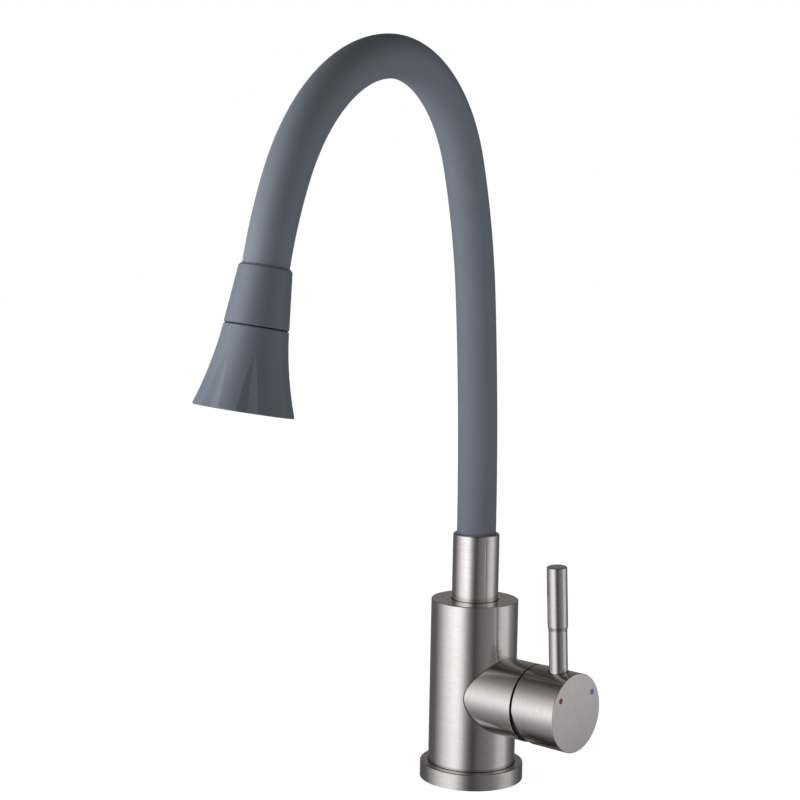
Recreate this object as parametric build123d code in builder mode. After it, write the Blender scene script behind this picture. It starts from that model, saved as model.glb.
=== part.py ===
from build123d import *
import os
from math import cos, radians, sin, sqrt, tan

# Kitchen mixer tap: a round steel body, a lever valve on its side and a bendable silicone spout.
# Millimetres. The origin is on the worktop at the body's axis, +Z is up and +X runs along the
# valve arm. The spout reaches towards -Y, swung a little towards the arm.

# Clearances
seat_gap = 0.05  # radial gap of a piece seated in, or turning on, another
free_gap = 0.3  # gap between moving pieces that must not touch

# Base flange, its seal and the body shell
flange_r = 29.7
flange_h = 9.4
flange_edge = 0.7
flange_rebate = 1.0
flange_gap = 0.2
seal_in_r = 20.5
seal_out_r = 26.5
seal_t = 2.0
body_r = 25.0
body_wall = 2.5
body_top_z = 104.0
top_plate_t = 4.0
top_edge = 0.4
ferrule_gap = 0.5

# Valve arm and the brass valve body inside it
arm_r = 21.9
arm_wall = 2.0
arm_z = 51.4
arm_end_x = 44.0
arm_edge = 0.5
saddle_gap = 0.4
saddle_depth = 0.5
valve_foot_t = 14.0
valve_head_t = 5.0
valve_column_r = 13.0
pocket_x = 6.0
pocket_r = 17.6
gap_ring_t = 1.2
gap_ring_step = 0.7
gap_flange_t = 0.7
dome_end_x = 48.0
dome_bore_r = 12.0

# Threaded shank and what clamps it under the worktop; its foot is a plain lead
shank_r = 16.5
shank_bore_r = 13.6
shank_grip = 10.0
shank_below = 62.0
shank_lead_r = 16.0
shank_lead_h = 8.0
worktop_space = 30.0
washer_r = 26.0
rubber_t = 3.0
steel_t = 2.0
nut_flats = 46.0
nut_t = 8.0

# Water ports
inlet_r = 4.5
inlet_depth = 12.0
inlet_offset = 6.6
water_r = 2.8
supply_z = 46.4
mixed_z = 59.4
riser_r = 4.2

# Cartridge, laid along the arm
base_plate_t = 3.0
port_seal_t = 1.0
port_seal_w = 1.4
fixed_disc_r = 15.2
fixed_disc_t = 3.5
moving_disc_r = 9.6
moving_disc_t = 3.5
mixing_r = 5.8
mixing_depth = 1.8
carrier_w = 14.0
carrier_h = 17.0
carrier_t = 3.5
carrier_drop = 1.7
carrier_travel = 3.6
housing_wall = 2.1
housing_front_t = 3.0
rotor_x = 31.3
rotor_neck_r = 9.35
rotor_end_x = 36.4
pivot_x = 31.0
pivot_r = 1.5
pivot_half = 8.8
blade_w = 6.2
blade_h = 6.0
ball_r = 2.4
ball_arm = 12.4
ball_neck_r = 1.7
ball_neck_h = 2.6
square_w = 8.0
square_x = 38.5
spindle_end_x = 66.0
cartridge_nut_t = 7.0
cartridge_nut_bore_r = 11.0
key_slot_w = 4.0
key_slot_depth = 2.0

# Handle cap, lever and index marks
cap_r = 22.0
cap_gap = 1.2
cap_face_x = 73.4
cap_wall = 1.5
cap_edge = 0.4
cap_rear_edge = 0.4
hub_r = 8.5
hub_x = 52.0
lift_angle = 15.0
lever_x = 61.8
lever_turn = 4.0
stem_r = 5.2
stem_thread_r = 3.0
stem_hole_r = 5.8
stem_groove_h = 0.4
stem_groove_depth = 0.3
grip_up = 45.6
grip_r = 5.65
grip_chamfer = 2.0
grip_h = 35.3
grip_edge = 0.8
spigot_r = 3.5
spigot_h = 14.0
mark_r = 1.6
mark_t = 0.8
mark_inset = 4.75
mark_angle = 33.4

# Swivel, with heights above the body's top
swivel_r = 9.0
swivel_thread_r = 7.0
swivel_thread_h = 12.0
swivel_up = 22.0
swivel_washer_t = 1.5
seal_ring_w = 2.4
seal_ring_depth = 1.5
seal_ring_ups = (3.0, 16.0)
lock_groove_w = 3.0
lock_groove_depth = 1.4
lock_screw_up = 10.5
lock_screw_r = 2.5
lock_screw_sunk = 0.2
lock_tip_r = 1.1
ferrule_r = 13.3
ferrule_up = 38.3
ferrule_edge = 1.2
ferrule_mouth = 0.5
ferrule_web_t = 4.0
hose_socket = 7.5
tail_flange_r = 8.0
tail_flange_t = 3.0
tail_up = 15.0
tail_bore_r = 4.0
barb_pitch = 5.0
barb_step = 0.6
barb_angle = 4.5

# Hose: its centreline's stretches from the ferrule's top, with the degrees that each one turns,
# and those that its plane is rolled by from the stretch before
spout_swing = 10.0
stretch_lengths = (135.4, 75.8, 100.2, 110.8, 45.0)
stretch_turns = (6.1, 14.3, 75.3, 62.0, 14.1)
stretch_rolls = (0.0, 0.9, 0.3, -4.2, -1.8)
hose_r = 11.2
sleeve_t = 2.0
core_bore_r = 6.0
bend_count = 5
bend_gap = 1.8

# Spray head, measured along its own axis from the collar's top
hose_into_collar = 8.0
collar_top_r = 12.7
collar_foot_r = 15.4
collar_h = 28.3
collar_edge = 1.1
joint_edge = 0.4
collar_web_t = 3.0
collar_bore_r = 11.5
twist_gap = 0.5
nipple_up = 11.0
nipple_thread_r = 7.0
nipple_down = 10.0
core_flange_t = 4.0
core_stem_r = 8.0
core_stem_end = 48.0
core_water_r = 4.5
head_seal_at = 34.0
skirt_end = 68.2
skirt_rim_r = 24.4
skirt_mid_r = 18.6
skirt_mid_at = 48.5
skirt_wall = 2.2
skirt_edge = 0.6
skirt_hub_end = 44.0
retainer_t = 2.0
retainer_r = 10.5
flute_count = 8
flute_depth = 1.3
flute_half_w = 5.2
flute_start = 41.0
flute_turn = 7.8
flute_cut_h = 2.2
plate_lip = 2.0
plate_t = 3.0
plate_recess = 1.0
aerator_r = 10.0
aerator_wall = 1.6
aerator_h = 15.0
mesh_t = 1.0
mesh_sunk = 1.0
nozzle_r = 0.9
nozzle_h = 0.9
nozzle_ring_rs = (13.2, 17.4)
nozzle_counts = (10, 14)

# Heights and places that follow from the sizes above
body_foot_z = flange_h - flange_rebate
swivel_top_z = body_top_z + swivel_up
seal_ring_zs = [body_top_z + up for up in seal_ring_ups]
lock_screw_z = body_top_z + lock_screw_up
ferrule_top_z = body_top_z + ferrule_up
mark_y = (cap_r - mark_inset) * cos(radians(mark_angle))
mark_z = (cap_r - mark_inset) * sin(radians(mark_angle))
plate_under_z = body_top_z - top_plate_t
shell_bore_r = body_r - body_wall
arm_bore_r = arm_r - arm_wall
cup_end_x = arm_end_x - gap_ring_t
shank_top_z = body_foot_z + shank_grip
base_end_x = pocket_x + base_plate_t
fixed_end_x = base_end_x + fixed_disc_t
moving_end_x = fixed_end_x + moving_disc_t
housing_r = pocket_r - seat_gap
housing_end_x = rotor_x + seat_gap + housing_front_t
rotor_r = housing_r - housing_wall - free_gap
ferrule_foot_z = plate_under_z + swivel_washer_t
ferrule_bore_r = swivel_r + seat_gap
hose_foot_z = ferrule_top_z - hose_socket
cap_x = arm_end_x + cap_gap
sleeve_bore_r = hose_r - sleeve_t
core_r = sleeve_bore_r - 2 * seat_gap
tail_r = core_bore_r - seat_gap
hose_length = sum(stretch_lengths)
stretch_ends = [sum(stretch_lengths[:i]) for i in range(len(stretch_lengths) + 1)]
bend_pitch = hose_length / (bend_count + 1)
bends = [bend_pitch * (i + 1) for i in range(bend_count)]

spout_dir = Vector(sin(radians(spout_swing)), -cos(radians(spout_swing)), 0)
bend_axis = Vector(0, 0, 1).cross(spout_dir)
ports = ((inlet_offset, supply_z - arm_z), (-inlet_offset, supply_z - arm_z), (0, mixed_z - arm_z))


def arm_plane(x):
    """The plane across the valve arm at x, with +Y as its own x and +Z as its own y."""
    return Plane(origin=(x, 0, arm_z), x_dir=(0, 1, 0), z_dir=(1, 0, 0))


def lever_plane(height):
    """The plane across the lever at a height along it from the arm's axis."""
    upward = Vector(0, 0, 1).rotate(Axis.X, lever_turn)
    return Plane(origin=Vector(lever_x, 0, arm_z) + upward * height, x_dir=(1, 0, 0), z_dir=upward)


def lock_plane(reach):
    """The plane across the locking screw's own axis, at a reach from the body's axis."""
    return Plane(origin=spout_dir * -reach + Vector(0, 0, lock_screw_z), x_dir=bend_axis, z_dir=-spout_dir)


def hose_plane(distance):
    """The plane across the hose at a distance from the ferrule's top, straight on past either end.

    It faces along the hose, and its own x is the axis that the hose bends about there.
    """
    centre, along, across, left = Vector(0, 0, ferrule_top_z), Vector(0, 0, 1), bend_axis, distance
    for length, turn, roll in zip(stretch_lengths, stretch_turns, stretch_rolls):
        if left <= 0:
            break
        step = min(left, length)
        across = across.rotate(Axis((0, 0, 0), along), roll)
        to_hub = across.cross(along) * (length / radians(turn))
        bend = Axis((0, 0, 0), across)
        centre += to_hub - to_hub.rotate(bend, turn * step / length)
        along = along.rotate(bend, turn * step / length)
        left -= step
    return Plane(origin=centre + along * left, x_dir=across, z_dir=along)


def hose_point(distance):
    """The centreline's point at a distance from the ferrule's top."""
    return hose_plane(distance).origin


def head_plane(distance):
    """The plane across the spray head at a distance below the collar's top."""
    return hose_plane(hose_length + distance)


head_axis = Axis(head_plane(0).origin, head_plane(0).z_dir)


def head_section(turn):
    """A plane along the head's axis, turned about it, with its own y running down the head."""
    outward = head_plane(0).x_dir.rotate(Axis((0, 0, 0), head_axis.direction), turn)
    return Plane(origin=head_axis.position, x_dir=outward, z_dir=outward.cross(head_axis.direction))


def hose_piece(start, end, outer_r, bore_r):
    """One length of hose between two distances along the centreline, as straights and arcs."""
    knots = [start] + [knot for knot in stretch_ends if start < knot < end] + [end]
    with BuildPart() as piece:
        with BuildLine() as route:
            for near, far in zip(knots, knots[1:]):
                if near < 0 or far > hose_length:
                    Line(hose_point(near), hose_point(far))
                else:
                    ThreePointArc(hose_point(near), hose_point((near + far) / 2), hose_point(far))
        with BuildSketch(hose_plane(start)):
            Circle(outer_r)
            Circle(bore_r, mode=Mode.SUBTRACT)
        sweep(path=route.wire())
    return piece.part


def ring(plane, outer_r, bore_r, height):
    """A plain ring that stands on a plane."""
    with BuildPart() as piece:
        with BuildSketch(plane):
            Circle(outer_r)
            Circle(bore_r, mode=Mode.SUBTRACT)
        extrude(amount=height)
    return piece.part


# Base flange: a ring with a rebate for the body, a seal groove below and a softened top edge
with BuildPart() as base_flange:
    with BuildSketch(Plane.XY):
        Circle(flange_r)
        Circle(shank_r + free_gap, mode=Mode.SUBTRACT)
    extrude(amount=flange_h)
    with BuildSketch(Plane.XY.offset(body_foot_z)):
        Circle(body_r + flange_gap)
    extrude(amount=flange_rebate, mode=Mode.SUBTRACT)
    with BuildSketch(Plane.XY):
        Circle(seal_out_r)
        Circle(seal_in_r, mode=Mode.SUBTRACT)
    extrude(amount=seal_t, mode=Mode.SUBTRACT)
    fillet(base_flange.edges().group_by(Axis.Z)[-1].sort_by(SortBy.RADIUS)[-1], flange_edge)

base_seal = ring(Plane.XY, seal_out_r - seat_gap, seal_in_r + seat_gap, seal_t)

# Body shell: a tube with a top plate, opened for the swivel, and the arm's tube let into its side,
# with a fine groove round the joint
with BuildPart() as saddle_groove:
    with BuildSketch(arm_plane(0)):
        Circle(arm_r + saddle_gap)
        Circle(arm_r, mode=Mode.SUBTRACT)
    extrude(amount=arm_end_x)
    with BuildSketch(Plane.XY):
        Circle(body_r - saddle_depth)
    extrude(amount=body_top_z, mode=Mode.SUBTRACT)

with BuildPart() as body_shell:
    with BuildSketch(Plane.XY.offset(body_foot_z)):
        Circle(body_r)
    extrude(amount=body_top_z - body_foot_z)
    fillet(body_shell.edges().group_by(Axis.Z)[-1], top_edge)
    with BuildSketch(arm_plane(0)):
        Circle(arm_r)
    extrude(amount=arm_end_x)
    fillet(body_shell.edges().group_by(Axis.X)[-1], arm_edge)
    add(saddle_groove.part, mode=Mode.SUBTRACT)
    with BuildSketch(Plane.XY.offset(body_foot_z)):
        Circle(shell_bore_r)
    extrude(amount=plate_under_z - body_foot_z, mode=Mode.SUBTRACT)
    with BuildSketch(arm_plane(0)):
        Circle(arm_bore_r)
    extrude(amount=arm_end_x, mode=Mode.SUBTRACT)
    with BuildSketch(Plane.XY.offset(plate_under_z)):
        Circle(ferrule_r + ferrule_gap)
    extrude(amount=top_plate_t, mode=Mode.SUBTRACT)

# Valve body: a brass column between two discs, with the cartridge's cup on its side
with BuildPart() as valve_body:
    with BuildSketch(Plane.XY.offset(body_foot_z)):
        Circle(shell_bore_r - seat_gap)
    extrude(amount=valve_foot_t)
    with BuildSketch(Plane.XY.offset(body_foot_z)):
        Circle(valve_column_r)
    extrude(amount=plate_under_z - body_foot_z)
    with BuildSketch(Plane.XY.offset(plate_under_z - valve_head_t)):
        Circle(shell_bore_r - seat_gap)
    extrude(amount=valve_head_t)
    with BuildSketch(arm_plane(0)):
        Circle(arm_bore_r - seat_gap)
    extrude(amount=cup_end_x)
    with BuildSketch(arm_plane(pocket_x)):
        Circle(pocket_r)
    extrude(amount=cup_end_x - pocket_x, mode=Mode.SUBTRACT)
    with BuildSketch(Plane.XY.offset(body_foot_z)):
        Circle(shank_r + seat_gap)
    extrude(amount=shank_grip, mode=Mode.SUBTRACT)
    with BuildSketch(Plane.XY.offset(shank_top_z)):
        with Locations((0, inlet_offset), (0, -inlet_offset)):
            Circle(inlet_r)
    extrude(amount=inlet_depth, mode=Mode.SUBTRACT)
    with BuildSketch(Plane.XY.offset(shank_top_z)):
        with Locations((0, inlet_offset), (0, -inlet_offset)):
            Circle(water_r)
    extrude(amount=supply_z + water_r - shank_top_z, mode=Mode.SUBTRACT)
    with BuildSketch(arm_plane(0)):
        with Locations(*ports):
            Circle(water_r)
    extrude(amount=pocket_x, mode=Mode.SUBTRACT)
    with BuildSketch(Plane.XY.offset(mixed_z)):
        Circle(riser_r)
    extrude(amount=plate_under_z - mixed_z, mode=Mode.SUBTRACT)
    with BuildSketch(Plane.XY.offset(plate_under_z - swivel_thread_h)):
        Circle(swivel_thread_r + seat_gap)
    extrude(amount=swivel_thread_h, mode=Mode.SUBTRACT)

# Mounting set under the worktop: hollow shank, rubber washer, steel washer and hexagon backnut
with BuildPart() as mounting_shank:
    with BuildSketch(Plane.XY.offset(-shank_below)):
        Circle(shank_lead_r)
    extrude(amount=shank_lead_h)
    with BuildSketch(Plane.XY.offset(shank_lead_h - shank_below)):
        Circle(shank_r)
    extrude(amount=shank_below - shank_lead_h + shank_top_z)
    with BuildSketch(Plane.XY.offset(-shank_below)):
        Circle(shank_bore_r)
    extrude(amount=shank_below + shank_top_z, mode=Mode.SUBTRACT)
rubber_washer = ring(Plane.XY.offset(-worktop_space - rubber_t), washer_r, shank_r + seat_gap, rubber_t)
steel_washer_z = -worktop_space - rubber_t - steel_t
steel_washer = ring(Plane.XY.offset(steel_washer_z), washer_r, shank_r + seat_gap, steel_t)
nut_z = steel_washer_z - nut_t
with BuildPart() as backnut:
    with BuildSketch(Plane.XY.offset(nut_z)):
        RegularPolygon(radius=nut_flats / 2, side_count=6, major_radius=False)
        Circle(shank_r + seat_gap, mode=Mode.SUBTRACT)
    extrude(amount=nut_t)

# Swivel spindle: screwed into the valve body, grooved for two seals and for the locking screw
with BuildPart() as swivel_spindle:
    with BuildSketch(Plane.XY.offset(plate_under_z)):
        Circle(swivel_r)
    extrude(amount=swivel_top_z - plate_under_z)
    with BuildSketch(Plane.XY.offset(plate_under_z - swivel_thread_h)):
        Circle(swivel_thread_r)
    extrude(amount=swivel_thread_h)
    for groove_z in seal_ring_zs:
        with BuildSketch(Plane.XY.offset(groove_z)):
            Circle(swivel_r)
            Circle(swivel_r - seal_ring_depth, mode=Mode.SUBTRACT)
        extrude(amount=seal_ring_w, mode=Mode.SUBTRACT)
    with BuildSketch(Plane.XY.offset(lock_screw_z - lock_groove_w / 2)):
        Circle(swivel_r)
        Circle(swivel_r - lock_groove_depth, mode=Mode.SUBTRACT)
    extrude(amount=lock_groove_w, mode=Mode.SUBTRACT)
    with BuildSketch(Plane.XY.offset(plate_under_z - swivel_thread_h)):
        Circle(riser_r)
    extrude(amount=swivel_top_z - plate_under_z + swivel_thread_h, mode=Mode.SUBTRACT)

# Seal rings, squared as they sit compressed in their grooves
with BuildPart() as swivel_seals:
    for groove_z in seal_ring_zs:
        with BuildSketch(Plane.XY.offset(groove_z)):
            Circle(swivel_r + seat_gap / 2)
            Circle(swivel_r - seal_ring_depth, mode=Mode.SUBTRACT)
        extrude(amount=seal_ring_w)

swivel_washer = ring(Plane.XY.offset(plate_under_z), ferrule_r, ferrule_bore_r, swivel_washer_t)

# Ferrule: the steel sleeve that turns on the spindle and holds the hose's foot
with BuildPart() as spout_ferrule:
    with BuildSketch(Plane.XY.offset(ferrule_foot_z)):
        Circle(ferrule_r)
    extrude(amount=ferrule_top_z - ferrule_foot_z)
    fillet(spout_ferrule.edges().group_by(Axis.Z)[-1], ferrule_edge)
    with BuildSketch(Plane.XY.offset(ferrule_foot_z)):
        Circle(ferrule_bore_r)
    extrude(amount=hose_foot_z - ferrule_web_t - ferrule_foot_z, mode=Mode.SUBTRACT)
    with BuildSketch(Plane.XY.offset(hose_foot_z - ferrule_web_t)):
        Circle(tail_r + seat_gap)
    extrude(amount=ferrule_web_t, mode=Mode.SUBTRACT)
    with BuildSketch(Plane.XY.offset(hose_foot_z)):
        Circle(hose_r + seat_gap)
    extrude(amount=hose_socket, mode=Mode.SUBTRACT)
    chamfer(spout_ferrule.edges().group_by(Axis.Z)[-1].sort_by(SortBy.RADIUS)[0], ferrule_mouth)
    with BuildSketch(lock_plane(0)):
        Circle(lock_screw_r + seat_gap)
    extrude(amount=ferrule_r, mode=Mode.SUBTRACT)

# Locking screw at the ferrule's back: its tip runs in the spindle's groove
with BuildPart() as lock_screw:
    with BuildSketch(lock_plane(ferrule_bore_r)):
        Circle(lock_screw_r)
    extrude(amount=ferrule_r - ferrule_bore_r - lock_screw_sunk)
    with BuildSketch(lock_plane(swivel_r - lock_groove_depth + free_gap)):
        Circle(lock_tip_r)
    extrude(amount=lock_groove_depth)
    with BuildSketch(lock_plane(ferrule_r - lock_screw_r)):
        RegularPolygon(radius=lock_tip_r, side_count=6)
    extrude(amount=lock_screw_r, mode=Mode.SUBTRACT)


def barbed_tail(plane, length, flange):
    """A nipple whose barbs climb along a plane's normal, over an optional flange below the plane."""
    flange_foot = min(start for radius, start, height in flange)
    with BuildPart() as piece:
        with BuildSketch(plane):
            Circle(tail_r - barb_step)
        extrude(amount=length)
        for step in range(int(length / barb_pitch)):
            with BuildSketch(plane.offset(step * barb_pitch)):
                Circle(tail_r)
            extrude(amount=barb_pitch, taper=barb_angle)
        for radius, start, height in flange:
            with BuildSketch(plane.offset(start)):
                Circle(radius)
            extrude(amount=height)
        with BuildSketch(plane.offset(flange_foot)):
            Circle(tail_bore_r)
        extrude(amount=length - flange_foot, mode=Mode.SUBTRACT)
    return piece.part


hose_tail = barbed_tail(
    Plane.XY.offset(hose_foot_z),
    tail_up,
    [(tail_r, -ferrule_web_t, ferrule_web_t), (tail_flange_r, -ferrule_web_t - tail_flange_t, tail_flange_t)],
)

# Hose: a coiled metal core with the waterway in it, and a silicone sleeve over the core. Both are
# cut at the bends, and the core's lengths stand apart there so that the hose can bend.
hose_ends = [-hose_socket] + bends + [hose_length + hose_into_collar]
hose_sleeves = []
hose_cores = []
for number, (start, end) in enumerate(zip(hose_ends, hose_ends[1:])):
    first, last = number == 0, number == bend_count
    hose_sleeves.append(hose_piece(start, end, hose_r, sleeve_bore_r))
    core_start = start if first else start + bend_gap / 2
    core_end = end if last else end - bend_gap / 2
    hose_cores.append(hose_piece(core_start, core_end, core_r, core_bore_r))

# Collar: the plastic sleeve that grips the hose's end, flaring slightly to the twist gap
with BuildPart() as collar:
    with BuildSketch(head_section(0)):
        with BuildLine():
            Polyline(
                (0, 0),
                (collar_top_r - collar_edge, 0),
                (collar_top_r, collar_edge),
                (collar_foot_r, collar_h - joint_edge),
                (collar_foot_r - joint_edge, collar_h),
                (0, collar_h),
                close=True,
            )
        make_face()
    revolve(axis=head_axis)
    with BuildSketch(head_plane(0)):
        Circle(hose_r + seat_gap)
    extrude(amount=hose_into_collar, mode=Mode.SUBTRACT)
    with BuildSketch(head_plane(hose_into_collar)):
        Circle(nipple_thread_r + seat_gap)
    extrude(amount=collar_web_t, mode=Mode.SUBTRACT)
    with BuildSketch(head_plane(hose_into_collar + collar_web_t)):
        Circle(collar_bore_r)
    extrude(amount=collar_h - hose_into_collar - collar_web_t, mode=Mode.SUBTRACT)

# Nipple: barbed into the hose's core and screwed down into the head's stem
head_nipple = barbed_tail(
    Plane(origin=head_plane(hose_into_collar).origin, z_dir=-head_axis.direction),
    nipple_up,
    [(nipple_thread_r, -collar_web_t - nipple_down, collar_web_t + nipple_down)],
)

# Head stem: the plastic core that hangs in the collar and carries the turning skirt
stem_at = hose_into_collar + collar_web_t
seal_foot_r = core_stem_r - seal_ring_depth
with BuildPart() as head_stem:
    with BuildSketch(head_plane(stem_at)):
        Circle(collar_bore_r - seat_gap)
    extrude(amount=core_flange_t)
    with BuildSketch(head_plane(stem_at)):
        Circle(core_stem_r)
    extrude(amount=core_stem_end - stem_at)
    with BuildSketch(head_plane(stem_at)):
        Circle(nipple_thread_r + seat_gap)
    extrude(amount=nipple_down, mode=Mode.SUBTRACT)
    with BuildSketch(head_plane(stem_at)):
        Circle(core_water_r)
    extrude(amount=core_stem_end - stem_at, mode=Mode.SUBTRACT)
    with BuildSketch(head_plane(head_seal_at)):
        Circle(core_stem_r)
        Circle(seal_foot_r, mode=Mode.SUBTRACT)
    extrude(amount=seal_ring_w, mode=Mode.SUBTRACT)

head_seal = ring(head_plane(head_seal_at), core_stem_r + seat_gap / 2, seal_foot_r, seal_ring_w)
skirt_retainer = ring(head_plane(skirt_hub_end + free_gap), retainer_r, core_stem_r + seat_gap, retainer_t)

# Skirt: a flared shell that turns on the stem, with shallow flutes that widen to its rim
skirt_top = collar_h + twist_gap
plate_at = skirt_end - plate_recess - plate_t
flare = ThreePointArc((collar_foot_r, skirt_top), (skirt_mid_r, skirt_mid_at), (skirt_rim_r, skirt_end))


def skirt_r_at(distance):
    """The skirt's outer radius at a distance below the collar's top."""
    return flare.arc_center.X - sqrt(flare.radius**2 - (distance - flare.arc_center.Y) ** 2)


def valley_point(distance):
    """Where a flute's valley runs: it leaves the skirt's surface and sinks evenly towards the rim."""
    return skirt_r_at(distance) - flute_depth * (distance - flute_start) / (skirt_end - flute_start), distance


plate_seat_r = skirt_r_at(plate_at) - plate_lip
flute_rise = flute_half_w**2 / (2 * skirt_rim_r)
flute_cut_w = flute_cut_h * flute_half_w / (flute_depth - flute_rise)
cavity_mid = (skirt_hub_end + plate_at) / 2
with BuildPart() as spray_skirt:
    with BuildSketch(head_section(0)):
        with BuildLine():
            ThreePointArc((collar_foot_r, skirt_top), (skirt_mid_r, skirt_mid_at), (skirt_rim_r, skirt_end))
            Polyline((skirt_rim_r, skirt_end), (0, skirt_end), (0, skirt_top), (collar_foot_r, skirt_top))
        make_face()
    revolve(axis=head_axis)
    fillet(spray_skirt.edges().group_by(head_axis)[-1], skirt_edge)
    chamfer(spray_skirt.edges().group_by(head_axis)[0], joint_edge)
    for number in range(flute_count):
        section = head_section(flute_turn + 360 / flute_count * number)
        with BuildLine(section) as valley:
            ThreePointArc(
                valley_point(skirt_end + plate_recess),
                valley_point((skirt_end + flute_start) / 2),
                valley_point(flute_start),
            )
        with BuildSketch(Plane(origin=valley.wire() @ 0, x_dir=-section.z_dir, z_dir=valley.wire() % 0)):
            with BuildLine():
                Polyline((0, 0), (flute_cut_w, flute_cut_h), (-flute_cut_w, flute_cut_h), close=True)
            make_face()
        sweep(path=valley.wire(), mode=Mode.SUBTRACT)
    with BuildSketch(head_section(0)):
        with BuildLine():
            ThreePointArc(
                (skirt_r_at(skirt_hub_end) - skirt_wall, skirt_hub_end),
                (skirt_r_at(cavity_mid) - skirt_wall, cavity_mid),
                (skirt_r_at(plate_at) - skirt_wall, plate_at),
            )
            Polyline(
                (skirt_r_at(plate_at) - skirt_wall, plate_at),
                (0, plate_at),
                (0, skirt_hub_end),
                (skirt_r_at(skirt_hub_end) - skirt_wall, skirt_hub_end),
            )
        make_face()
    revolve(axis=head_axis, mode=Mode.SUBTRACT)
    with BuildSketch(head_plane(plate_at)):
        Circle(plate_seat_r)
    extrude(amount=plate_t + plate_recess, mode=Mode.SUBTRACT)
    with BuildSketch(head_plane(skirt_top)):
        Circle(core_stem_r + seat_gap)
    extrude(amount=skirt_hub_end - skirt_top, mode=Mode.SUBTRACT)

spray_plate = ring(head_plane(plate_at), plate_seat_r - seat_gap, aerator_r + seat_gap, plate_t)
face_at = plate_at + plate_t

# Spray nozzles: two rings of short rubber nipples on the plate
with BuildPart() as spray_nozzles:
    for ring_r, count in zip(nozzle_ring_rs, nozzle_counts):
        with BuildSketch(head_plane(face_at)):
            with PolarLocations(ring_r, count):
                Circle(nozzle_r)
        extrude(amount=nozzle_h)

aerator_housing = ring(head_plane(face_at - aerator_h), aerator_r, aerator_r - aerator_wall, aerator_h)

with BuildPart() as aerator_mesh:
    with BuildSketch(head_plane(face_at - mesh_sunk - mesh_t)):
        Circle(aerator_r - aerator_wall - seat_gap)
    extrude(amount=mesh_t)

# Cartridge base: a plate with the three water ports and a recess round each for its seal
with BuildPart() as cartridge_base:
    with BuildSketch(arm_plane(pocket_x)):
        Circle(housing_r)
        with Locations(*ports):
            Circle(water_r, mode=Mode.SUBTRACT)
    extrude(amount=base_plate_t)
    with BuildSketch(arm_plane(pocket_x)):
        with Locations(*ports):
            Circle(water_r + port_seal_w)
    extrude(amount=port_seal_t, mode=Mode.SUBTRACT)

with BuildPart() as port_seals:
    with BuildSketch(arm_plane(pocket_x)):
        with Locations(*ports):
            Circle(water_r + port_seal_w)
        with Locations(*ports):
            Circle(water_r, mode=Mode.SUBTRACT)
    extrude(amount=port_seal_t)

with BuildPart() as fixed_disc:
    with BuildSketch(arm_plane(base_end_x)):
        Circle(fixed_disc_r)
        with Locations(*ports):
            Circle(water_r, mode=Mode.SUBTRACT)
    extrude(amount=fixed_disc_t)

# Moving disc and the carrier that slides it up and down in the rotor
with BuildPart() as moving_disc:
    with BuildSketch(arm_plane(fixed_end_x)):
        with Locations((0, -carrier_drop)):
            Circle(moving_disc_r)
    extrude(amount=moving_disc_t)
    with BuildSketch(arm_plane(fixed_end_x)):
        with Locations((0, -carrier_drop)):
            Circle(mixing_r)
    extrude(amount=mixing_depth, mode=Mode.SUBTRACT)

with BuildPart() as disc_carrier:
    with BuildSketch(arm_plane(moving_end_x)):
        with Locations((0, -carrier_drop)):
            Rectangle(carrier_w, carrier_h)
        Circle(ball_r + free_gap, mode=Mode.SUBTRACT)
    extrude(amount=carrier_t)

with BuildPart() as cartridge_housing:
    with BuildSketch(arm_plane(base_end_x)):
        Circle(housing_r)
    extrude(amount=housing_end_x - base_end_x)
    with BuildSketch(arm_plane(base_end_x)):
        Circle(housing_r - housing_wall)
    extrude(amount=rotor_x + seat_gap - base_end_x, mode=Mode.SUBTRACT)
    with BuildSketch(arm_plane(rotor_x)):
        Circle(rotor_neck_r + seat_gap)
    extrude(amount=housing_front_t + seat_gap, mode=Mode.SUBTRACT)

# Rotor: turns in the housing with the lever, guides the carrier and holds the pivot pin
guide_low = -carrier_drop - carrier_h / 2 - free_gap
guide_high = -carrier_drop + carrier_h / 2 + carrier_travel + free_gap
blade_slot_h = blade_h + 2 * carrier_travel + 2 * free_gap
with BuildPart() as cartridge_rotor:
    with BuildSketch(arm_plane(moving_end_x)):
        Circle(rotor_r)
    extrude(amount=rotor_x - moving_end_x)
    with BuildSketch(arm_plane(moving_end_x)):
        Circle(rotor_neck_r)
    extrude(amount=rotor_end_x - moving_end_x)
    with BuildSketch(arm_plane(moving_end_x)):
        with Locations((0, (guide_low + guide_high) / 2)):
            Rectangle(carrier_w + 2 * seat_gap, guide_high - guide_low)
    extrude(amount=carrier_t + ball_r, mode=Mode.SUBTRACT)
    with BuildSketch(arm_plane(moving_end_x)):
        Rectangle(blade_w + free_gap, blade_slot_h)
    extrude(amount=rotor_end_x - moving_end_x, mode=Mode.SUBTRACT)
    with BuildSketch(Plane(origin=(pivot_x, -pivot_half, arm_z), x_dir=(1, 0, 0), z_dir=(0, 1, 0))):
        Circle(pivot_r)
    extrude(amount=2 * pivot_half, mode=Mode.SUBTRACT)

with BuildPart() as pivot_pin:
    with BuildSketch(Plane(origin=(pivot_x, -pivot_half, arm_z), x_dir=(1, 0, 0), z_dir=(0, 1, 0))):
        Circle(pivot_r)
    extrude(amount=2 * pivot_half)

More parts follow.
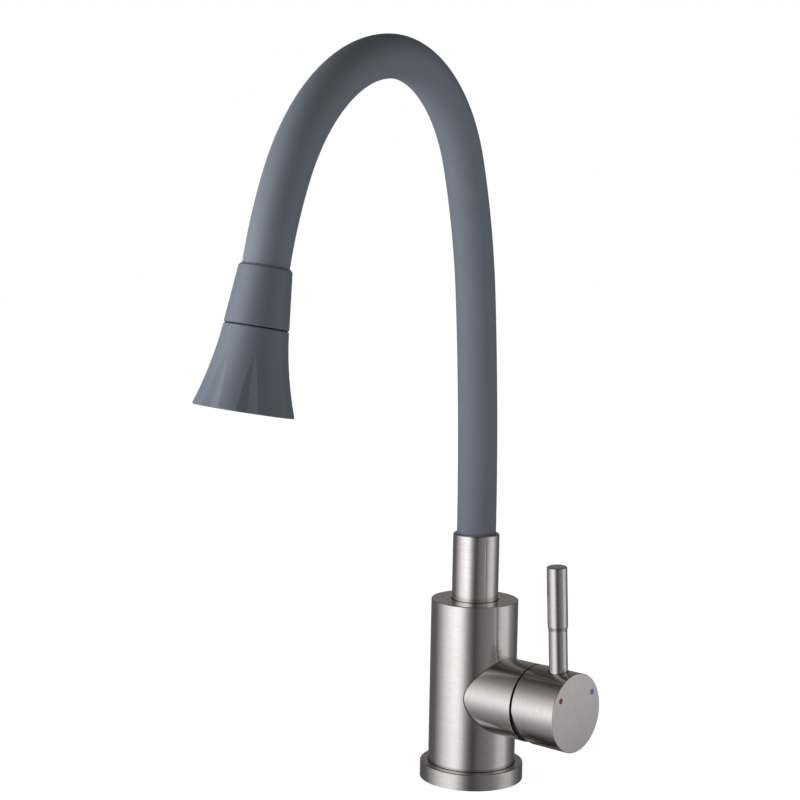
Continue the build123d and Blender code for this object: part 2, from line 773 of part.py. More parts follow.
# Spindle: a ball in the carrier, a flat blade on the pivot pin and a square end for the handle
ball_x = pivot_x - ball_arm
blade_x = ball_x + ball_r + ball_neck_h
with BuildPart() as valve_spindle:
    with Locations((ball_x, 0, arm_z)):
        Sphere(ball_r)
    with BuildSketch(arm_plane(ball_x)):
        Circle(ball_neck_r)
    extrude(amount=blade_x - ball_x)
    with BuildSketch(arm_plane(blade_x)):
        Rectangle(blade_w, blade_h)
    extrude(amount=square_x - blade_x)
    with BuildSketch(arm_plane(square_x)):
        Rectangle(square_w, square_w)
    extrude(amount=spindle_end_x - square_x)
    with BuildSketch(Plane(origin=(pivot_x, -blade_w, arm_z), x_dir=(1, 0, 0), z_dir=(0, 1, 0))):
        Circle(pivot_r + seat_gap)
    extrude(amount=2 * blade_w, mode=Mode.SUBTRACT)

# Cartridge nut: clamps the housing in the cup, with two key slots in its face
with BuildPart() as cartridge_nut:
    with BuildSketch(arm_plane(housing_end_x)):
        Circle(housing_r)
        Circle(cartridge_nut_bore_r, mode=Mode.SUBTRACT)
    extrude(amount=cartridge_nut_t)
    with BuildSketch(arm_plane(housing_end_x + cartridge_nut_t - key_slot_depth)):
        Rectangle(2 * pocket_r, key_slot_w)
    extrude(amount=key_slot_depth, mode=Mode.SUBTRACT)

# Gap ring: a black ring pressed into the arm's mouth, with a thin flange over the arm's end and a
# dome about the pivot that the cap's bore clears as it lifts
dome_r = sqrt((cap_x - pivot_x) ** 2 + (cap_r - cap_wall) ** 2) - free_gap


def dome_r_at(x):
    """The dome's radius about the arm's axis at x."""
    return sqrt(dome_r**2 - (x - pivot_x) ** 2)


flange_end_x = arm_end_x + gap_flange_t
dome_mid_x = (flange_end_x + dome_end_x) / 2
gap_ring_r = arm_bore_r - seat_gap
gap_flange_r = arm_r - gap_ring_step
with BuildPart() as gap_ring:
    with BuildSketch(Plane(origin=(0, 0, arm_z), x_dir=(1, 0, 0), z_dir=(0, -1, 0))):
        with BuildLine():
            ThreePointArc(
                (flange_end_x, dome_r_at(flange_end_x)),
                (dome_mid_x, dome_r_at(dome_mid_x)),
                (dome_end_x, dome_r_at(dome_end_x)),
            )
            Polyline(
                (dome_end_x, dome_r_at(dome_end_x)),
                (dome_end_x, dome_bore_r),
                (cup_end_x, dome_bore_r),
                (cup_end_x, gap_ring_r),
                (arm_end_x, gap_ring_r),
                (arm_end_x, gap_flange_r),
                (flange_end_x, gap_flange_r),
                (flange_end_x, dome_r_at(flange_end_x)),
            )
        make_face()
    revolve(axis=Axis((0, 0, arm_z), (1, 0, 0)))

# Handle cap: a hollow cap with a hub, its lower rear bevelled so that it can lift
lift = radians(lift_angle)
bevel_drop = (cap_gap - gap_flange_t - free_gap - (cap_x - pivot_x) * (1 - cos(lift))) / sin(lift)
bevel_run = (cap_r - bevel_drop) * tan(lift)
stem_foot_up = hub_r + free_gap
with BuildPart() as handle_cap:
    with BuildSketch(arm_plane(cap_x)):
        Circle(cap_r)
    extrude(amount=cap_face_x - cap_x)
    fillet(handle_cap.edges().group_by(Axis.X)[-1], cap_edge)
    fillet(handle_cap.edges().group_by(Axis.X)[0], cap_rear_edge)
    with BuildSketch(arm_plane(cap_x)):
        Circle(cap_r - cap_wall)
    extrude(amount=cap_face_x - cap_wall - cap_x, mode=Mode.SUBTRACT)
    with BuildSketch(arm_plane(hub_x)):
        Circle(hub_r)
    extrude(amount=cap_face_x - cap_wall - hub_x)
    with BuildSketch(arm_plane(hub_x)):
        Rectangle(square_w + 2 * seat_gap, square_w + 2 * seat_gap)
    extrude(amount=spindle_end_x + free_gap - hub_x, mode=Mode.SUBTRACT)
    with BuildSketch(lever_plane(0)):
        Circle(stem_thread_r + seat_gap)
    extrude(amount=stem_foot_up, mode=Mode.SUBTRACT)
    with BuildSketch(lever_plane(stem_foot_up)):
        Circle(stem_hole_r)
    extrude(amount=cap_r, mode=Mode.SUBTRACT)
    with BuildSketch(Plane(origin=(cap_x, -cap_r, arm_z), x_dir=(1, 0, 0), z_dir=(0, 1, 0))):
        with BuildLine():
            Polyline((0, bevel_drop), (0, cap_r), (bevel_run, cap_r), close=True)
        make_face()
    extrude(amount=2 * cap_r, mode=Mode.SUBTRACT)
    with BuildSketch(arm_plane(cap_face_x - mark_t)):
        with Locations((-mark_y, mark_z), (mark_y, mark_z)):
            Circle(mark_r + seat_gap)
    extrude(amount=mark_t, mode=Mode.SUBTRACT)


def index_mark(y):
    """A coloured disc let into the cap's face."""
    with BuildPart() as piece:
        with BuildSketch(arm_plane(cap_face_x - mark_t)):
            with Locations((y, mark_z)):
                Circle(mark_r)
        extrude(amount=mark_t)
    return piece.part


hot_mark = index_mark(-mark_y)
cold_mark = index_mark(mark_y)

# Lever: a stem screwed into the hub, down on the spindle, and a thicker grip over its top
with BuildPart() as lever_stem:
    with BuildSketch(lever_plane(stem_foot_up)):
        Circle(stem_r)
    extrude(amount=grip_up - stem_foot_up)
    with BuildSketch(lever_plane(square_w / 2 + free_gap)):
        Circle(stem_thread_r)
    extrude(amount=stem_foot_up - square_w / 2 - free_gap)
    with BuildSketch(lever_plane(grip_up - stem_groove_h)):
        Circle(stem_r)
        Circle(stem_r - stem_groove_depth, mode=Mode.SUBTRACT)
    extrude(amount=stem_groove_h, mode=Mode.SUBTRACT)
    with BuildSketch(lever_plane(grip_up)):
        Circle(spigot_r)
    extrude(amount=spigot_h)

lever_axis = Axis(lever_plane(0).origin, lever_plane(0).z_dir)
lever_front = Vector(1, 0, 0).cross(lever_axis.direction)
lever_section = Plane(origin=lever_axis.position, x_dir=(1, 0, 0), z_dir=lever_front)
with BuildPart() as lever_grip:
    with BuildSketch(lever_section):
        with BuildLine():
            Polyline(
                (0, grip_up),
                (stem_r, grip_up),
                (grip_r, grip_up + grip_chamfer),
                (grip_r, grip_up + grip_h),
                (0, grip_up + grip_h),
                close=True,
            )
        make_face()
    revolve(axis=lever_axis)
    fillet(lever_grip.edges().group_by(lever_axis)[-1], grip_edge)
    with BuildSketch(lever_plane(grip_up)):
        Circle(spigot_r + seat_gap)
    extrude(amount=spigot_h + free_gap, mode=Mode.SUBTRACT)

pieces = {
    "base_flange": base_flange.part,
    "base_seal": base_seal,
    "body_shell": body_shell.part,
    "valve_body": valve_body.part,
    "mounting_shank": mounting_shank.part,
    "rubber_washer": rubber_washer,
    "steel_washer": steel_washer,
    "backnut": backnut.part,
    "swivel_spindle": swivel_spindle.part,
    "swivel_seals": swivel_seals.part,
    "swivel_washer": swivel_washer,
    "spout_ferrule": spout_ferrule.part,
    "lock_screw": lock_screw.part,
    "hose_tail": hose_tail,
    "collar": collar.part,
    "head_nipple": head_nipple,
    "head_stem": head_stem.part,
    "head_seal": head_seal,
    "skirt_retainer": skirt_retainer,
    "spray_skirt": spray_skirt.part,
    "spray_plate": spray_plate,
    "spray_nozzles": spray_nozzles.part,
    "aerator_housing": aerator_housing,
    "aerator_mesh": aerator_mesh.part,
    "cartridge_base": cartridge_base.part,
    "port_seals": port_seals.part,
    "fixed_disc": fixed_disc.part,
    "moving_disc": moving_disc.part,
    "disc_carrier": disc_carrier.part,
    "cartridge_housing": cartridge_housing.part,
    "cartridge_rotor": cartridge_rotor.part,
    "pivot_pin": pivot_pin.part,
    "valve_spindle": valve_spindle.part,
    "cartridge_nut": cartridge_nut.part,
    "gap_ring": gap_ring.part,
    "handle_cap": handle_cap.part,
    "lever_stem": lever_stem.part,
    "lever_grip": lever_grip.part,
    "hot_mark": hot_mark,
    "cold_mark": cold_mark,
}
for number, (sleeve, core) in enumerate(zip(hose_sleeves, hose_cores), start=1):
    pieces[f"hose_sleeve_{number}"] = sleeve
    pieces[f"hose_core_{number}"] = core

os.makedirs("parts", exist_ok=True)
for name, piece in pieces.items():
    piece.label = name
    export_step(piece, f"parts/{name}.step")
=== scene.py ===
import math

import bpy
from mathutils import Matrix, Vector


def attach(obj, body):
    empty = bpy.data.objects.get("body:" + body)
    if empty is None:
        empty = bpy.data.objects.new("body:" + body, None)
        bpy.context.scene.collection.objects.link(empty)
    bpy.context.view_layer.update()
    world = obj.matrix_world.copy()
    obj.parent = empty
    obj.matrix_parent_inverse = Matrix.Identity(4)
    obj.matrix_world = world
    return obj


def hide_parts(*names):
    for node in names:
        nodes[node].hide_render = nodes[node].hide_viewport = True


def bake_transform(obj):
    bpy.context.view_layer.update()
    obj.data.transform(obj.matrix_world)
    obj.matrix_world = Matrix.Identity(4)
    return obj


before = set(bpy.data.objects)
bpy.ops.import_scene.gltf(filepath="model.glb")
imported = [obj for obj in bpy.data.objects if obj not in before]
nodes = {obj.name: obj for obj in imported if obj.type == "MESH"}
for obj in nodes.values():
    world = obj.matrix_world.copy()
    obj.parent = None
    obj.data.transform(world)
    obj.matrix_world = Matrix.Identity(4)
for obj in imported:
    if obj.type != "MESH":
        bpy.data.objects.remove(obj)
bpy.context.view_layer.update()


# Camera and studio
# The tap was photographed with a long lens from about a metre away, a little above the valve arm.
# A soft box stands low at its left, the ceiling is dark, and dark flags show in the steel.
camera_right = Vector((0.7427, 0.6693, 0.0188)).normalized()
camera_back = Vector((0.6654, -0.7409, 0.0912)).normalized()
camera_up = camera_back.cross(camera_right).normalized()
camera = bpy.data.objects.new("camera", bpy.data.cameras.new("camera"))
bpy.context.scene.collection.objects.link(camera)
camera.data.sensor_width = 36
camera.data.lens = 75.44
camera.data.clip_start = 0.02
camera_place = Matrix.Translation((0.60043, -0.73620, 0.30454))
camera_turn = Matrix((camera_right, camera_up, camera_back)).transposed().to_4x4()
camera.matrix_world = camera_place @ camera_turn
bpy.context.scene.camera = camera
bpy.context.scene.view_settings.view_transform = "Standard"


class Field:
    """A socket that takes part in sums: an expression on fields adds its Math nodes."""

    def __init__(self, tree, socket):
        self.tree, self.socket = tree, socket

    def maths(self, operation, *terms):
        return add_node(self.tree, "ShaderNodeMath", {"operation": operation}, terms)[0]

    def __add__(self, other):
        return self.maths("ADD", self, other)

    def __sub__(self, other):
        return self.maths("SUBTRACT", self, other)

    def __mul__(self, other):
        return self.maths("MULTIPLY", self, other)

    def __truediv__(self, other):
        return self.maths("DIVIDE", self, other)

    __radd__ = __add__

    def power(self, other):
        return self.maths("POWER", self, other)

    def step(self, low, high):
        """0 below low, 1 above high, and smooth between; high may be the lower one."""
        inputs = {"Value": self, "From Min": low, "From Max": high}
        return add_node(self.tree, "ShaderNodeMapRange", {"interpolation_type": "SMOOTHSTEP"}, inputs)[0]


def add_node(tree, kind, settings=None, inputs=()):
    """Makes a node, its settings before its inputs, and returns its outputs as fields.

    The inputs come in their order, or by name or number. The setting called stops is a colour
    ramp's list of positions, each with its colour.
    """
    node = tree.nodes.new(kind)
    for name, value in (settings or {}).items():
        if name == "stops":
            ramp = node.color_ramp
            for number, (position, colour) in enumerate(value):
                stop = ramp.elements[number] if number < 2 else ramp.elements.new(position)
                stop.position = position
                stop.color = (*colour, 1)
        else:
            setattr(node, name, value)
    pairs = inputs.items() if isinstance(inputs, dict) else enumerate(inputs)
    for name, value in pairs:
        if isinstance(value, Field):
            tree.links.new(value.socket, node.inputs[name])
        else:
            node.inputs[name].default_value = value
    return [Field(tree, output) for output in node.outputs]


world = bpy.data.worlds.new("studio")
bpy.context.scene.world = world
world.use_nodes = True
sky = world.node_tree
sky.nodes.clear()
direction = add_node(sky, "ShaderNodeTexCoord")[0]
facing = Vector((camera_back.x, camera_back.y, 0)).normalized()
side = Vector((camera_right.x, camera_right.y, 0)).normalized()


def along(axis):
    """How far the world's direction points along an axis."""
    return add_node(sky, "ShaderNodeVectorMath", {"operation": "DOT_PRODUCT"}, {0: direction, 1: axis})[1]


def tinted(factor, first, second):
    """The first colour where the factor is 0, running into the second where it is 1."""
    return add_node(sky, "ShaderNodeMix", {"data_type": "RGBA"}, {0: factor, 6: first, 7: second})[2]


sideways, height = along(side), along((0, 0, 1))
turn = sideways.maths("ARCTAN2", sideways, along(facing)) / math.tau + 0.5
# Degrees round the tap from where the camera stands, by the right, and the light that comes from there
mirrored = (
    (-180, 0.15), (-149, 0.08), (-120, 0.10), (-98, 0.36), (-78, 0.72), (-52, 1.0), (-38, 0.90),
    (-26, 0.44), (-15, 0.15), (-2, 0.04), (12, 0.105), (28, 0.15), (42, 0.18), (52, 0.22), (62, 0.31),
    (72, 0.48), (92, 0.52), (112, 0.16), (140, 0.06), (180, 0.15),
)
green_share = 0.967
flags = add_node(sky, "ShaderNodeValToRGB", {
    "stops": [(0.5 + angle / 360, (light, green_share * light, light)) for angle, light in mirrored],
}, {"Fac": turn})[0]
# The same light by its height, from straight below to straight above, and browner towards the ceiling
upright = (
    (-1.0, 0.30), (-0.80, 0.42), (-0.60, 0.40), (-0.42, 0.58), (-0.23, 0.88), (-0.02, 1.02), (0.23, 0.80),
    (0.45, 0.56), (0.61, 0.36), (0.78, 0.32), (1.0, 0.20),
)
ceiling_loss = (0.0, 0.07, 0.20)  # what red, green and blue lose straight above
fall_off = add_node(sky, "ShaderNodeValToRGB", {
    "stops": [
        (0.5 + level / 2, tuple(light * (1 - loss * max(level, 0)) for loss in ceiling_loss))
        for level, light in upright
    ],
}, {"Fac": height * 0.5 + 0.5})[0]
pattern = add_node(sky, "ShaderNodeMix", {"data_type": "RGBA", "blend_type": "MULTIPLY"}, {
    0: 1.0, 6: flags, 7: fall_off,
})[2]
# What lights the dull pieces: bright from below and from the left, and weak from the camera's side
soft = tinted(height.step(-0.1, 0.7), (0.90, 0.92, 0.96, 1), (0.12, 0.115, 0.095, 1))
soft = tinted(sideways.step(-0.2, -1.0) * height.step(0.8, 0.1), soft, (1.35, 1.38, 1.44, 1))
soft = tinted(along(facing).step(0.2, 1.0) * 0.5, soft, (0.25, 0.26, 0.28, 1))
ray_kinds = add_node(sky, "ShaderNodeLightPath")
camera_ray, glossy_ray = ray_kinds[0], ray_kinds[3]
seen = tinted(camera_ray, tinted(glossy_ray, soft, pattern), (1, 1, 1, 1))
pattern_strength = 1.65
backdrop = add_node(sky, "ShaderNodeBackground", None, {
    "Color": seen, "Strength": glossy_ray * (pattern_strength - 1) + 1,
})[0]
add_node(sky, "ShaderNodeOutputWorld", None, {"Surface": backdrop})

# A small soft light at the left of the spray head, turned this far round from the camera's side
key_turn = math.radians(-77)
key_reach, key_height, key_aim = 0.26, 0.28, Vector((0.035, -0.20, 0.29))
key = bpy.data.objects.new("soft_light", bpy.data.lights.new("soft_light", "AREA"))
bpy.context.scene.collection.objects.link(key)
key.data.shape = "RECTANGLE"
key.data.size, key.data.size_y = 0.20, 0.28
key.data.energy = 0.50
key.data.spread = math.radians(110)
key.location = key_aim + (facing * math.cos(key_turn) + side * math.sin(key_turn)) * key_reach
key.location.z = key_height
key.rotation_euler = (key.location - key_aim).to_track_quat("Z", "Y").to_euler()
key.visible_glossy = False
key.visible_camera = False

floor_mesh = bpy.data.meshes.new("floor")
floor_reach, floor_height = 6.0, -0.0003
floor_corners = [
    (x * floor_reach, y * floor_reach, floor_height) for x, y in ((-1, -1), (1, -1), (1, 1), (-1, 1))
]
floor_mesh.from_pydata(floor_corners, [], [(0, 1, 2, 3)])
floor = bpy.data.objects.new("floor", floor_mesh)
bpy.context.scene.collection.objects.link(floor)
floor.visible_glossy = False
floor_paint = bpy.data.materials.new("floor_paint")
floor_paint.use_nodes = True
paint = floor_paint.node_tree
paint.nodes.clear()
# The camera sees a white ground with a faint shadow, and other rays the bounce of a white table
pale = add_node(paint, "ShaderNodeBsdfDiffuse", None, {"Color": (0.86, 0.86, 0.86, 1)})[0]
table_light = add_node(paint, "ShaderNodeEmission", None, {
    "Color": (0.90, 0.95, 1.0, 1), "Strength": 0.50,
})[0]
table = add_node(paint, "ShaderNodeAddShader", None, {0: pale, 1: table_light})[0]
shadowed = add_node(paint, "ShaderNodeBsdfDiffuse", None, {"Color": (0.45, 0.45, 0.46, 1)})[0]
bright = add_node(paint, "ShaderNodeEmission", None, {"Color": (1, 1, 1, 1), "Strength": 0.91})[0]
shown = add_node(paint, "ShaderNodeAddShader", None, {0: shadowed, 1: bright})[0]
by_camera = add_node(paint, "ShaderNodeLightPath")[0]
surface = add_node(paint, "ShaderNodeMixShader", None, {0: by_camera, 1: table, 2: shown})[0]
add_node(paint, "ShaderNodeOutputMaterial", None, {"Surface": surface})
floor_mesh.materials.append(floor_paint)


# Base flange, body, ferrule and locking screw
# Turned stainless steel, brushed round its own axis. The body is a tube with a top plate, the arm's
# tube is let into its side and welded, and the ferrule turns in the top plate's opening.
class Finish:
    """A material with one Principled shader, and the fields that its patterns start from."""

    def __init__(self, name, colour, roughness, metallic=0.0, **fixed):
        self.material = bpy.data.materials.new(name)
        self.material.use_nodes = True
        self.tree = self.material.node_tree
        self.shader = self.tree.nodes["Principled BSDF"]
        self.set("Base Color", (*colour, 1))
        self.set("Roughness", roughness)
        self.set("Metallic", metallic)
        for socket, value in fixed.items():
            self.set(socket.replace("_", " "), value)
        self.place = self.node("ShaderNodeTexCoord")[3]
        self.x, self.y, self.z = self.node("ShaderNodeSeparateXYZ", None, {0: self.place})

    def node(self, kind, settings=None, inputs=()):
        return add_node(self.tree, kind, settings, inputs)

    def set(self, socket, value):
        if isinstance(value, Field):
            self.tree.links.new(value.socket, self.shader.inputs[socket])
        else:
            self.shader.inputs[socket].default_value = value

    def point(self, x, y, z):
        return self.node("ShaderNodeCombineXYZ", None, {0: x, 1: y, 2: z})[0]

    def noise(self, vector, scale, detail=2.0):
        values = {"Vector": vector, "Scale": scale, "Detail": detail}
        return self.node("ShaderNodeTexNoise", None, values)[0]

    def blend(self, factor, first, second):
        return self.node("ShaderNodeMix", {"data_type": "RGBA"}, {0: factor, 6: first, 7: second})[2]

    def either(self, factor, first, second):
        """The first vector where the factor is 0 and the second where it is 1."""
        return self.node("ShaderNodeMix", {"data_type": "VECTOR"}, {0: factor, 4: first, 5: second})[1]

    def raise_by(self, height, depth, strength=1.0):
        values = {"Strength": strength, "Distance": depth, "Height": height}
        self.set("Normal", self.node("ShaderNodeBump", None, values)[0])


def dress(finish, *names):
    """Gives CAD pieces a finish."""
    for name in names:
        for place in nodes[name].material_slots:
            place.material = finish.material


def toned(colour, factor):
    """A darker or lighter tone of a colour, with its alpha."""
    return (*(min(1.0, factor * part) for part in colour), 1)


ridge_height = 0.000004


def brushed(name, lines_across, colour, smooth=0.10, crown=None):
    """Brushed steel whose lines run at right angles to a vector made from the finish's own fields."""
    steel = Finish(name, colour, smooth, metallic=1.0)
    across = lines_across(steel)
    fine = steel.noise(across, 2600.0, 3.0)
    broad = steel.noise(across, 700.0, 2.0)
    cloud = steel.noise(steel.place, 60.0, 2.0)
    lines = (fine * 0.75 + broad * 0.25).step(0.3, 0.7)
    steel.set("Base Color", steel.blend(lines, toned(colour, 0.93), toned(colour, 1.04)))
    steel.set("Roughness", smooth + fine * 0.10 + cloud * 0.06)
    ridges = (fine + broad * 0.4) * ridge_height
    steel.raise_by(ridges + crown(steel) if crown else ridges, 1.0)
    return steel


steel_colour = (0.700, 0.686, 0.668)
arm_height, body_radius = 0.0514, 0.025
# How fast the grain changes along its lines, against 1 across them
lines_length = 0.06


def round_upright(steel):
    """Rings round the body's axis."""
    radius = (steel.x * steel.x + steel.y * steel.y).power(0.5)
    return steel.point(radius, steel.z, (steel.x + steel.y) * lines_length)


flange_colour = toned(steel_colour, 0.93)[:3]
dress(brushed("flange_steel", round_upright, flange_colour, smooth=0.15), "base_flange")
dress(brushed("ferrule_steel", round_upright, steel_colour), "spout_ferrule", "lock_screw")


def round_body_and_arm(steel):
    """Rings round the body's axis, and round the arm's where the surface is outside the body."""
    up = steel.z - arm_height
    reach = (steel.x * steel.x + steel.y * steel.y).power(0.5)
    arm_reach = (steel.y * steel.y + up * up).power(0.5)
    on_arm = reach.step(body_radius + 0.00003, body_radius + 0.00008)
    body_lines = steel.point(reach, steel.z, (steel.x + steel.y) * lines_length)
    arm_lines = steel.point(arm_reach, steel.x, (steel.y + up) * lines_length)
    return steel.either(on_arm, body_lines, arm_lines)


dress(brushed("body_steel", round_body_and_arm, steel_colour), "body_shell")


# Handle cap, lever and index marks
# The cap and the lever's two rods are brushed steel like the body, the cap's face in straight lines.
# A red and a blue disc are let into the face, and a black ring shows in the gap behind the cap.
def on_cap_face(steel):
    """1 on the cap's face and 0 on its side."""
    return steel.x.step(0.07330, 0.07335)


def round_arm_and_face(steel):
    """Rings round the arm's axis, and straight lines on the cap's face."""
    up = steel.z - arm_height
    arm_reach = (steel.y * steel.y + up * up).power(0.5)
    side_lines = steel.point(arm_reach, steel.x, (steel.y + up) * lines_length)
    face_lines = steel.point(steel.y, steel.x, up * lines_length)
    return steel.either(on_cap_face(steel), side_lines, face_lines)


def crowned_face(steel):
    """The cap's face rounds off very slightly towards its top."""
    crown_bend, crown_lean = 1.15, 0.03
    up = steel.z - arm_height
    return (up * crown_bend + crown_lean) * up * -1 * on_cap_face(steel)


dress(brushed("cap_steel", round_arm_and_face, steel_colour, crown=crowned_face), "handle_cap")

lever_place, lever_lean = Vector((0.0618, 0, 0.0514)), math.radians(4)


def round_lever(steel):
    """Rings round the lever's own axis, which leans a little towards the spout's side."""
    off_x, off_y, up = steel.x - lever_place.x, steel.y, steel.z - lever_place.z
    across = off_y * math.cos(lever_lean) + up * math.sin(lever_lean)
    height_up = up * math.cos(lever_lean) - off_y * math.sin(lever_lean)
    rod_reach = (off_x * off_x + across * across).power(0.5)
    return steel.point(rod_reach, height_up, (off_x + across) * lines_length)


dress(brushed("lever_steel", round_lever, steel_colour), "lever_stem", "lever_grip")


def moulded(name, colour, roughness, grain, depth, **fixed):
    """Plastic or rubber with an even fine grain and a slight drift of its colour."""
    plastic = Finish(name, colour, roughness, **fixed)
    speck = plastic.noise(plastic.place, grain, 3.0)
    drift = plastic.noise(plastic.place, 45.0, 2.0)
    tone = drift * 0.7 + speck * 0.3
    plastic.set("Base Color", plastic.blend(tone, toned(colour, 0.90), toned(colour, 1.08)))
    plastic.set("Roughness", speck * 0.12 + (roughness - 0.06))
    plastic.raise_by(speck, depth, 0.4)
    return plastic


dress(moulded("red_enamel", (0.26, 0.025, 0.035), 0.35, 900.0, 0.00003), "hot_mark")
dress(moulded("blue_enamel", (0.05, 0.17, 0.55), 0.35, 900.0, 0.00003), "cold_mark")
dress(moulded("black_plastic", (0.03, 0.029, 0.028), 0.6, 900.0, 0.00003), "gap_ring")


# Hose
# One tube of grey silicone over a coiled core, gripped by the ferrule below and the collar above.
# It is drawn in five lengths that meet halfway between the bends, and each spans one bend.
stretch_lengths = (0.1354, 0.0758, 0.1002, 0.1108, 0.0450)
stretch_turns = (6.1, 14.3, 75.3, 62.0, 14.1)
stretch_rolls = (0.0, 0.9, 0.3, -4.2, -1.8)
hose_foot_height = 0.1423
hose_length = sum(stretch_lengths)
swing = math.radians(10)
spout_reach = Vector((math.sin(swing), -math.cos(swing), 0))


def hose_point(distance):
    """The centreline's point at a distance from the ferrule's top, straight on past either end."""
    centre, heading, left = Vector((0, 0, hose_foot_height)), Vector((0, 0, 1)), distance
    across = heading.cross(spout_reach)
    for length, turned, rolled in zip(stretch_lengths, stretch_turns, stretch_rolls):
        if left <= 0:
            break
        step = min(left, length)
        across = Matrix.Rotation(math.radians(rolled), 3, heading) @ across
        to_hub = across.cross(heading) * (length / math.radians(turned))
        bend = Matrix.Rotation(math.radians(turned) * step / length, 3, across)
        centre = centre + to_hub - bend @ to_hub
        heading = bend @ heading
        left -= step
    return centre + heading * left


def tube_group():
    """Follows a line of points with a round tube of a given radius, with closed ends where wanted."""
    tree = bpy.data.node_groups.new("round_tube", "GeometryNodeTree")
    tree.interface.new_socket("Line", in_out="INPUT", socket_type="NodeSocketGeometry")
    tree.interface.new_socket("Radius", in_out="INPUT", socket_type="NodeSocketFloat")
    tree.interface.new_socket("Sides", in_out="INPUT", socket_type="NodeSocketInt")
    tree.interface.new_socket("Closed Ends", in_out="INPUT", socket_type="NodeSocketBool")
    tree.interface.new_socket("Material", in_out="INPUT", socket_type="NodeSocketMaterial")
    tree.interface.new_socket("Tube", in_out="OUTPUT", socket_type="NodeSocketGeometry")
    line, radius, sides, ends, finish = add_node(tree, "NodeGroupInput")[:5]
    curve = add_node(tree, "GeometryNodeMeshToCurve", None, {0: line})[0]
    section = add_node(tree, "GeometryNodeCurvePrimitiveCircle", None, {
        "Resolution": sides, "Radius": radius,
    })[0]
    tube = add_node(tree, "GeometryNodeCurveToMesh", None, {
        "Curve": curve, "Profile Curve": section, "Fill Caps": ends,
    })[0]
    smooth = add_node(tree, "GeometryNodeSetShadeSmooth", None, {0: tube})[0]
    whole = add_node(tree, "GeometryNodeRealizeInstances", None, {0: smooth})[0]
    painted = add_node(tree, "GeometryNodeSetMaterial", None, {"Geometry": whole, "Material": finish})[0]
    add_node(tree, "NodeGroupOutput", None, {0: painted})
    return tree


def settle(piece):
    """Turns a piece's modifiers into its plain mesh."""
    bpy.context.view_layer.update()
    depsgraph = bpy.context.evaluated_depsgraph_get()
    made = bpy.data.meshes.new_from_object(piece.evaluated_get(depsgraph))
    piece.modifiers.clear()
    piece.data = made


def run_tree(piece, tree, values):
    """Gives a piece a tree with these inputs, and turns the result into its plain mesh."""
    modifier = piece.modifiers.new("tree", "NODES")
    modifier.node_group = tree
    for socket in tree.interface.items_tree:
        if socket.in_out == "INPUT" and socket.name in values:
            modifier[socket.identifier] = values[socket.name]
    settle(piece)


def tube_along(name, line, radius, sides, finish, joined=False, closed=True):
    """A tube round a line of points, with its ends closed or open.

    A joined line runs on to its first point.
    """
    edges = [(i, i + 1) for i in range(len(line) - 1)] + ([(len(line) - 1, 0)] if joined else [])
    mesh = bpy.data.meshes.new(name)
    mesh.from_pydata(line, edges, [])
    piece = bpy.data.objects.new(name, mesh)
    bpy.context.scene.collection.objects.link(piece)
    values = {"Radius": radius, "Sides": sides, "Closed Ends": closed, "Material": finish.material}
    run_tree(piece, tube_tree, values)
    return piece


silicone = moulded("grey_silicone", (0.138, 0.156, 0.187), 0.58, 1400.0, 0.00006)
tube_tree = tube_group()
hose_radius, sleeve_wall = 0.0112, 0.0016
depth_in_ferrule, depth_in_collar = 0.0075, 0.008
spacing, end_spacing = 0.0015, 0.0003
bends = [hose_length / 6 * number for number in range(1, 6)]
half_link = hose_length / 12
for number, bend in enumerate(bends):
    start = -depth_in_ferrule if number == 0 else bend - half_link
    end = hose_length + depth_in_collar if number == 4 else bend + half_link
    stations = round((end - start) / spacing)
    # Each end has one more point close by, so that its section stands square to the path
    between = [start + (end - start) * station / stations for station in range(1, stations)]
    places = [start, start + end_spacing, *between, end - end_spacing, end]
    line = [hose_point(place) for place in places]
    sleeve = tube_along(f"silicone_{number + 1}", line, hose_radius, 96, silicone, closed=False)
    wall = sleeve.modifiers.new("wall", "SOLIDIFY")
    wall.thickness, wall.offset = sleeve_wall, -1
    settle(sleeve)
    sleeve.data.set_sharp_from_angle(angle=math.radians(40))
    hose_point(bend - half_link)
    hose_point(bend + half_link)
    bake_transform(sleeve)
    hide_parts(*([f"hose_sleeve_{number + 1}"] + (["hose_sleeve_6"] if number == 4 else [])))


# Dark cords and seals that paint the shade in the gaps
# Black cords paint the shade in the gap round the arm's end and in the rear edge of the cap's upper half.
# Thin black seals at the ferrule's foot and round the body in its flange also paint the shadow lines of
# those joints, and a black ring paints the shade in the skirt's gap.
# Near-black rubber that paints the shade in the gaps
black_gap_shade = moulded("black_gap_shade", (0.004, 0.004, 0.004), 0.8, 900.0, 0.00003, Specular_IOR_Level=0.12)


def round_the_arm(along_arm, radius, first, last, stations):
    """Points round the arm's axis, from and to these degrees from its top."""
    turns = [math.radians(first + (last - first) * part / stations) for part in range(stations + 1)]
    return [
        (along_arm, radius * math.sin(turned), arm_height + radius * math.cos(turned)) for turned in turns
    ]


# Black cords that paint the shade in the gap between the arm's end and the cap
cap_cord_line = round_the_arm(0.0449, 0.0215, -70, 70, 60)
cap_shade_cord = tube_along("cap_shade_cord", cap_cord_line, 0.00034, 12, black_gap_shade)
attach(cap_shade_cord, "handle")
arm_cord_line = round_the_arm(0.0443, 0.02155, 0, 357, 119)
arm_shade_cord = tube_along("arm_shade_cord", arm_cord_line, 0.00026, 12, black_gap_shade, joined=True)
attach(arm_shade_cord, "tap_body")

# Black seals that also paint the shadow lines at the ferrule's foot and the body's joint with the flange
seals = (("ferrule_seal_and_shade", 0.10392, 0.01355, 0.00024), ("flange_seal_and_shade", 0.00942, 0.02518, 0.00016))
for name, seal_height, seal_reach, seal_radius in seals:
    circle = [
        (seal_reach * math.cos(turned), seal_reach * math.sin(turned), seal_height)
        for turned in (math.tau * station / 120 for station in range(120))
    ]
    seal = tube_along(name, circle, seal_radius, 12, black_gap_shade, joined=True)
    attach(seal, "tap_body")
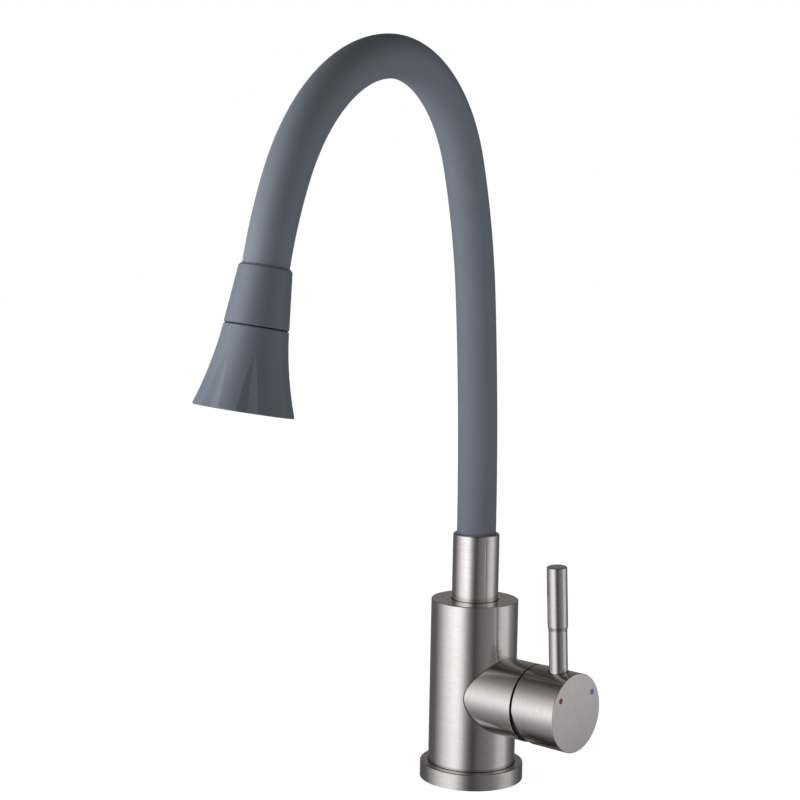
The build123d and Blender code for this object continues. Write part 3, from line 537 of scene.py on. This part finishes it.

# A black ring that paints the shade in the skirt's gap
skirt_gap_down, skirt_ring_reach = 0.02855, 0.0146
gap_centre = hose_point(hose_length + skirt_gap_down)
head_way = (gap_centre - hose_point(hose_length)).normalized()
outward = head_way.orthogonal().normalized()
skirt_line = [
    gap_centre + Matrix.Rotation(math.tau * station / 96, 3, head_way) @ outward * skirt_ring_reach
    for station in range(96)
]
skirt_gap_shade_ring = tube_along("skirt_gap_shade_ring", skirt_line, 0.00023, 12, black_gap_shade, joined=True)
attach(skirt_gap_shade_ring, "spray_head")


# Spray head
# A collar that grips the hose, and a fluted skirt that turns below it on the head's stem. Both are
# moulded in satin grey plastic, and the face carries rubber nozzles round an aerator.
grey_plastic = moulded("grey_plastic", (0.116, 0.133, 0.163), 0.46, 2600.0, 0.00004)
dress(grey_plastic, "collar", "spray_skirt", "spray_plate")
dress(moulded("nozzle_rubber", (0.30, 0.32, 0.35), 0.6, 2000.0, 0.00003), "spray_nozzles")
dress(moulded("white_plastic", (0.78, 0.78, 0.75), 0.4, 1200.0, 0.00003), "aerator_housing", "head_stem",
      "swivel_washer", "cartridge_base", "cartridge_housing", "cartridge_rotor", "disc_carrier")
dress(moulded("seal_rubber", (0.02, 0.02, 0.02), 0.65, 1500.0, 0.00005), "base_seal", "rubber_washer",
      "swivel_seals", "port_seals", "head_seal")
dress(moulded("ceramic", (0.86, 0.84, 0.79), 0.22, 3000.0, 0.00001), "fixed_disc", "moving_disc")


# Metal inside and under the worktop
# Turned brass for what carries water, and plain steel for the washer, pins, clips and hose core. The
# shank's thread is one ridge that winds down to its plain lead and stands 0.2 mm past its 33 mm.
brass = brushed("turned_brass", round_upright, (0.72, 0.56, 0.30))
dress(brass, "valve_body", "mounting_shank", "backnut", "swivel_spindle", "hose_tail", "head_nipple",
      "valve_spindle", "cartridge_nut")
plain_steel = brushed("plain_steel", round_upright, (0.55, 0.55, 0.54))
dress(plain_steel, "steel_washer", "skirt_retainer", "pivot_pin", "aerator_mesh",
      *[f"hose_core_{number}" for number in range(1, 7)])

thread_pitch, thread_turns, thread_steps, thread_top = 0.002, 26, 36, -0.0008
thread_reach, ridge_radius = 0.0163, 0.0004
thread_line = []
for station in range(thread_turns * thread_steps + 1):
    wound = math.tau * station / thread_steps
    down_to = thread_top - thread_pitch * station / thread_steps
    thread_line.append((thread_reach * math.cos(wound), thread_reach * math.sin(wound), down_to))
thread = tube_along("shank_thread", thread_line, ridge_radius, 6, brass)
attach(thread, "tap_body")
